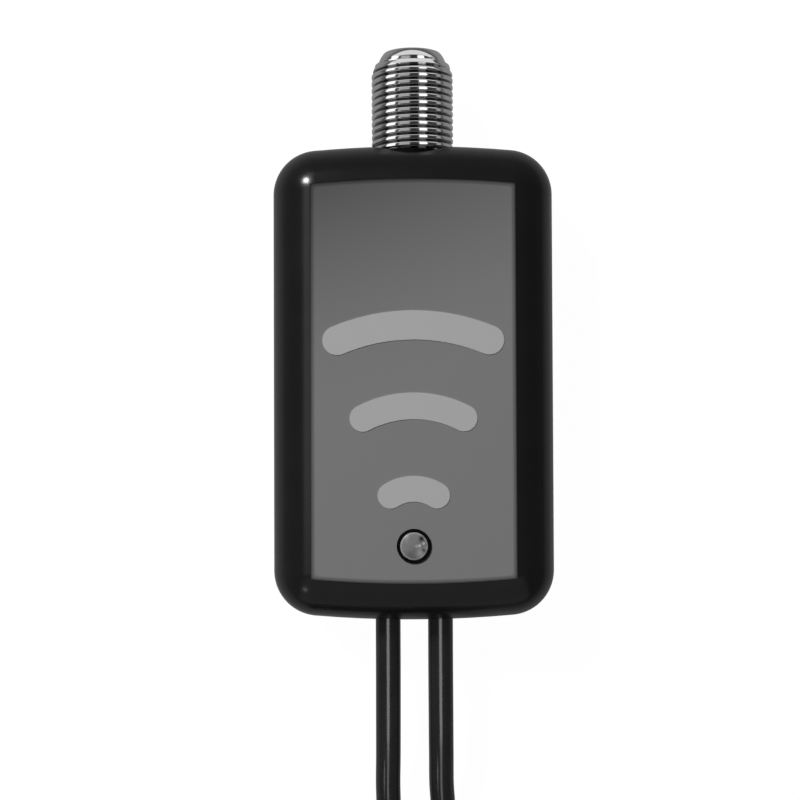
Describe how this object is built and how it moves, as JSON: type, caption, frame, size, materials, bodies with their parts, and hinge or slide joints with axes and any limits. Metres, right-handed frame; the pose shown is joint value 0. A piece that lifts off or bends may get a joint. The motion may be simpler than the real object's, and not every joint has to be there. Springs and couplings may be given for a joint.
{
  "type": "in-line antenna signal booster",
  "caption": "Small black in-line aerial signal amplifier with a threaded coaxial socket, a grey face with signal arcs, a status lamp, a coax lead and a USB power lead.",
  "frame": {"origin": "on the surface the booster lies on, under the middle of the housing and its socket together", "axes": "+Z out of the face, +Y towards the threaded socket, +X to the right seen from the front"},
  "size_m": [0.0435, 0.1876, 0.018],
  "materials": {
    "housing_plastic": "satin black moulded plastic",
    "panel_print": "satin grey printed film",
    "mark_ink": "light grey ink",
    "label_film": "plain pale label film",
    "bezel_plastic": "glossy black",
    "clear_lens": "clear epoxy",
    "nickel": "nickel plate",
    "insulator_plastic": "natural white",
    "contact_brass": "plated brass",
    "seal_rubber": "black",
    "board_laminate": "green solder mask",
    "tinned_steel": "tinned",
    "chip_plastic": "black",
    "capacitor_ceramic": "tan",
    "resistor_ceramic": "black",
    "ferrite": "dark grey",
    "copper_wire": "enamelled copper",
    "capacitor_can": "satin",
    "screw_steel": "zinc plate",
    "red_pvc": "red",
    "black_pvc": "black",
    "lead_jacket": "satin black PVC",
    "tie_fabric": "black hook and loop tape",
    "boot_rubber": "black"
  },
  "bodies": {
    "booster": {"front_cover": "housing_plastic", "rear_cover": "housing_plastic", "face_panel": "panel_print", "signal_marks": "mark_ink", "rating_label": "label_film", "led_bezel": "bezel_plastic", "status_led": "clear_lens", "led_legs": "tinned_steel", "port_body": "nickel", "port_insulator": "insulator_plastic", "port_contact": "contact_brass", "port_seal": "seal_rubber", "circuit_board": "board_laminate", "shield_can": "tinned_steel", "amplifier_chip": "chip_plastic", "regulator_chip": "chip_plastic", "chip_capacitors": "capacitor_ceramic", "chip_resistors": "resistor_ceramic", "power_choke": "ferrite", "rf_coils": "copper_wire", "filter_capacitor": "capacitor_can", "case_screws": "screw_steel", "coax_grommet": "seal_rubber", "usb_grommet": "seal_rubber", "coax_core": "copper_wire", "coax_braid_tail": "tinned_steel", "power_wire_red": "red_pvc", "power_wire_black": "black_pvc", "coax_lead": "lead_jacket", "coax_coil": "lead_jacket", "coax_tail": "lead_jacket", "coax_tie": "tie_fabric", "coax_boot": "boot_rubber", "coax_ferrule": "nickel", "coax_dielectric": "insulator_plastic", "coax_pin": "copper_wire", "usb_lead": "lead_jacket", "usb_coil": "lead_jacket", "usb_tail": "lead_jacket", "usb_tie": "tie_fabric", "usb_boot": "boot_rubber", "usb_grip": "boot_rubber", "usb_shell": "nickel", "usb_tongue": "insulator_plastic", "usb_contacts": "contact_brass"},
    "plug_nut": {"coupling_nut": "nickel"}
  },
  "joints": [
    {"name": "nut_turn", "type": "hinge", "parent": "booster", "child": "plug_nut", "pos_m": [0.003, -0.0895, 0.0123], "axis": [0, -1, 0], "continuous": true}
  ]
}
